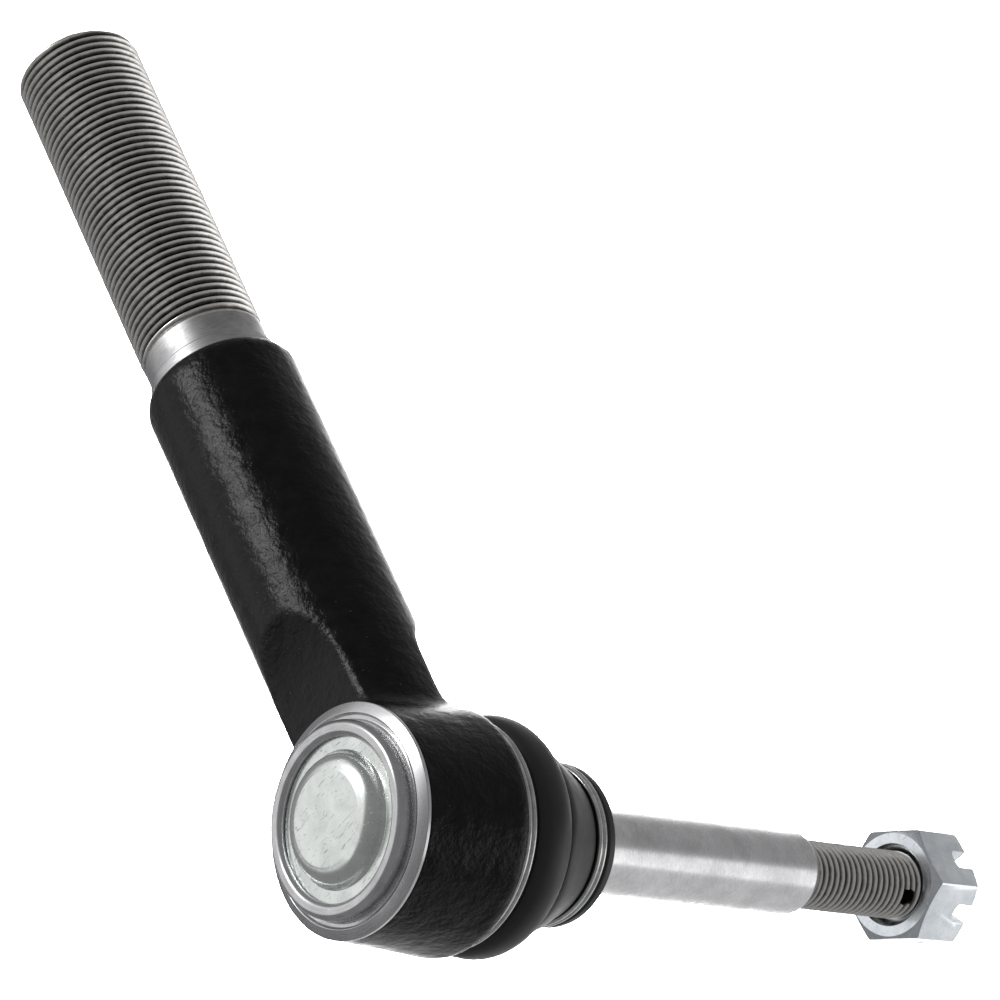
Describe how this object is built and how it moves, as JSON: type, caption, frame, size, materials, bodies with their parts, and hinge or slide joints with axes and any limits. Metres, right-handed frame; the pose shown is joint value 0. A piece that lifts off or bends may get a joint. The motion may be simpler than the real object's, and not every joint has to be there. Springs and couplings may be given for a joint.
{
  "type": "tie rod end",
  "caption": "Steering tie rod end: a forged arm with a long threaded shank and a sealed ball joint whose straight stud swings and turns.",
  "frame": {"origin": "centre of the ball in the joint", "axes": "+X along the threaded shank towards its free end, +Z from the ball to the pressed-in cover; the stud hangs towards -Z, leaning a little"},
  "size_m": [0.1923, 0.0416, 0.1549],
  "materials": {
    "painted_forging": "glossy black dip coat over rough forging, bare machined steel at the rim and shank",
    "ground_steel": "ground steel",
    "zinc_plate": "bright zinc plate",
    "zinc_nut": "bright zinc plate",
    "boot_rubber": "black moulded rubber, satin",
    "ring_wire": "bright drawn wire",
    "spring_steel": "oiled spring steel",
    "seat_plastic": "moulded acetal, natural colour"
  },
  "bodies": {
    "housing": {"housing": "painted_forging", "cover_plate": "zinc_plate", "preload_spring": "spring_steel", "boot_ring_large": "ring_wire"},
    "bearing": {"cover_side_seat": "seat_plastic", "stud_side_seat": "seat_plastic", "dust_boot": "boot_rubber"},
    "boot_neck": {"boot_ring_small": "ring_wire"},
    "stud": {"ball_stud": "ground_steel"},
    "nut": {"castle_nut": "zinc_nut"}
  },
  "joints": [
    {"name": "swing_direction", "type": "hinge", "parent": "housing", "child": "bearing", "pos_m": [0, 0, 0], "axis": [0, 0, 1], "continuous": true},
    {"name": "swing", "type": "hinge", "parent": "bearing", "child": "boot_neck", "pos_m": [0, 0, 0], "axis": [0.7071, -0.7071, 0], "range_deg": [-28.3, 15.7], "deforming": ["dust_boot"]},
    {"name": "stud_spin", "type": "hinge", "parent": "boot_neck", "child": "stud", "pos_m": [0, 0, 0], "axis": [0.0776, 0.0776, -0.994], "continuous": true},
    {"name": "nut_travel", "type": "slide", "parent": "stud", "child": "nut", "axis": [0.0776, 0.0776, -0.994], "range_m": [-0.0255, 0.129]}
  ]
}
